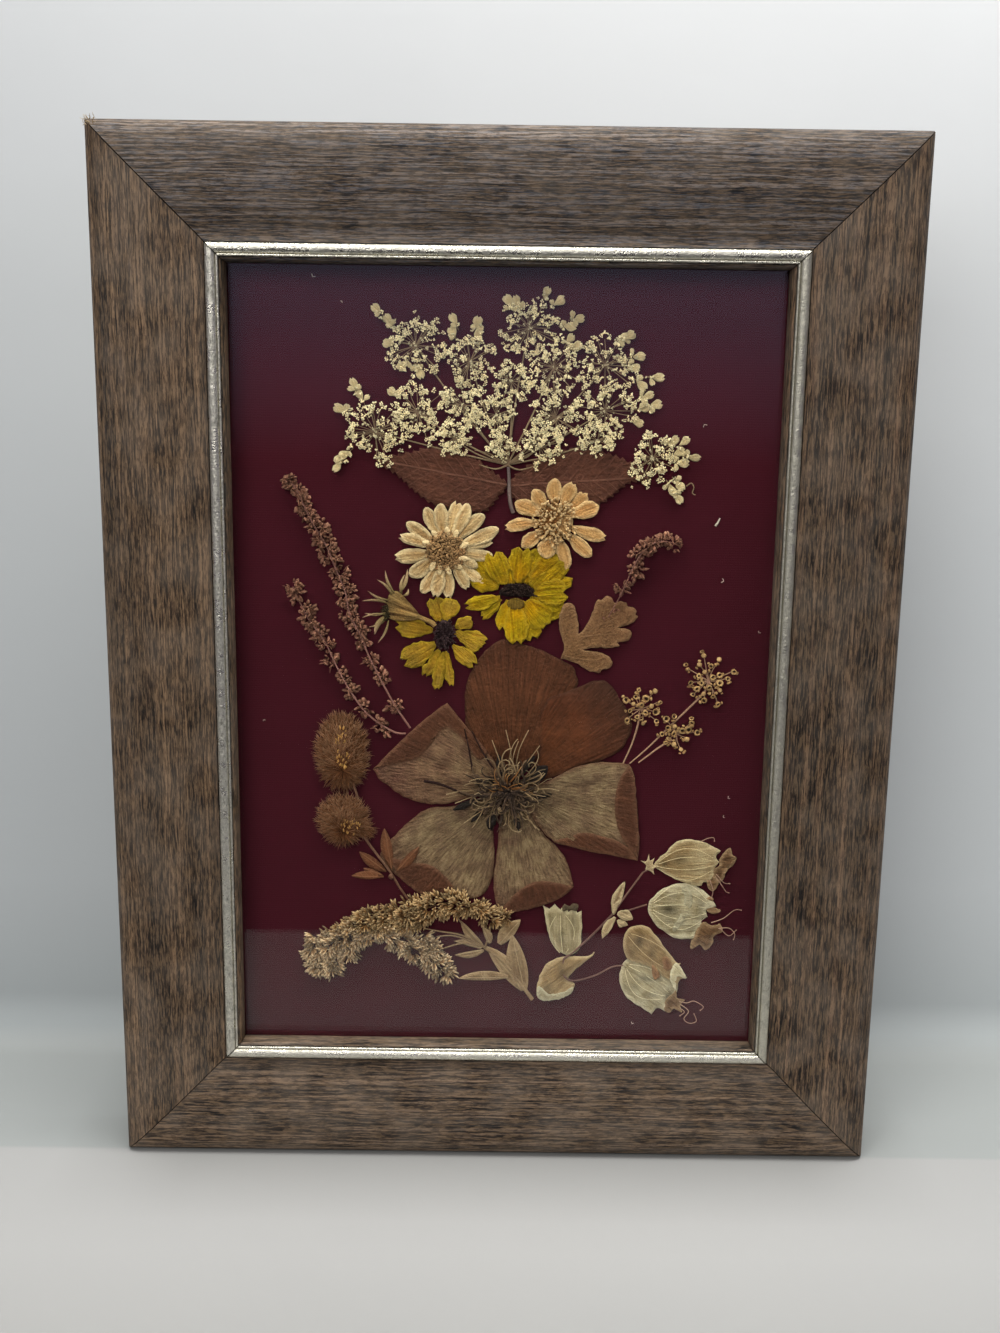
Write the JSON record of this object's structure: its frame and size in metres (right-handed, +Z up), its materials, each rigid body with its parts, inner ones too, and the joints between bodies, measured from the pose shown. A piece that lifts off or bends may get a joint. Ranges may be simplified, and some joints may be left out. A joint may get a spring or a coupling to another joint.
{
  "type": "framed pressed flower picture",
  "caption": "Upright wood-effect picture frame with a silver inner bead; pressed dried flowers lie on burgundy cloth behind its glass.",
  "frame": {"origin": "centre of the flat underside that the frame stands on", "axes": "+Z up along the height, +X to the right seen from the front, the glazed front faces -Y"},
  "size_m": [0.169, 0.0196, 0.224],
  "materials": {
    "walnut_foil": "satin printed walnut grain",
    "silver_foil": "rubbed silver leaf",
    "glass": "clear float glass",
    "burgundy_cloth": "fine ribbed weave",
    "hardboard": "smooth pressed board",
    "steel": "zinc plated",
    "lace_cream": "dry florets",
    "petal_cream": "dry petals",
    "petal_peach": "dry petals",
    "petal_yellow": "dry petals",
    "disc_brown": "granular disc florets",
    "disc_dark": "granular disc florets",
    "leaf_russet": "dry leaf with veins",
    "leaf_tan": "dry leaf with veins",
    "leaf_pale": "dry stems and leaves",
    "spike_brown": "dry flower spikes",
    "sepal_brown": "dry sepals with veins",
    "sepal_taupe": "dry sepals with veins",
    "stamen_brown": "dry filaments",
    "seed_tan": "dry seed heads",
    "clover_fur": "soft dry fur",
    "goldenrod_tan": "dry florets",
    "campion_white": "papery, slightly see-through",
    "campion_tan": "papery, slightly see-through"
  },
  "bodies": {
    "root": {"rail_top": "walnut_foil", "rail_right": "walnut_foil", "rail_bottom": "walnut_foil", "rail_left": "walnut_foil", "bead_top": "silver_foil", "bead_right": "silver_foil", "bead_bottom": "silver_foil", "bead_left": "silver_foil", "glass_pane": "glass", "cloth_board": "burgundy_cloth", "back_panel": "hardboard", "glazing_point_1": "steel", "glazing_point_2": "steel", "glazing_point_3": "steel", "glazing_point_4": "steel", "sawtooth_hanger": "steel", "lace_umbel": "lace_cream", "lace_umbellet_loose": "lace_cream", "russet_leaf_left": "leaf_russet", "russet_leaf_right": "leaf_russet", "cream_daisy_petals": "petal_cream", "cream_daisy_disc": "disc_brown", "peach_daisy_petals": "petal_peach", "peach_daisy_disc": "disc_brown", "yellow_daisy_petals": "petal_yellow", "yellow_daisy_disc": "disc_dark", "small_yellow_petals": "petal_yellow", "small_yellow_disc": "disc_dark", "seed_bud": "seed_tan", "dock_spike_tall": "spike_brown", "dock_spike_short": "spike_brown", "dock_spike_right": "spike_brown", "lobed_leaf": "leaf_tan", "clematis_sepal_1": "sepal_brown", "clematis_sepal_2": "sepal_brown", "clematis_sepal_3": "sepal_taupe", "clematis_sepal_4": "sepal_taupe", "clematis_sepal_5": "sepal_taupe", "clematis_sepal_6": "sepal_taupe", "clematis_stamens": "stamen_brown", "seed_umbel_left": "seed_tan", "seed_umbel_top": "seed_tan", "seed_umbel_low": "seed_tan", "clover_head_upper": "clover_fur", "clover_head_lower": "clover_fur", "clover_stem": "leaf_tan", "goldenrod_plume_arch": "goldenrod_tan", "goldenrod_plume_lower": "goldenrod_tan", "goldenrod_plume_right": "goldenrod_tan", "goldenrod_stem": "leaf_pale", "campion_calyx_1": "campion_white", "campion_calyx_2": "campion_white", "campion_calyx_3": "campion_tan", "campion_calyx_4": "campion_white", "campion_calyx_5": "campion_white", "campion_calyx_6": "campion_tan", "campion_stem": "leaf_pale"}
  },
  "joints": []
}
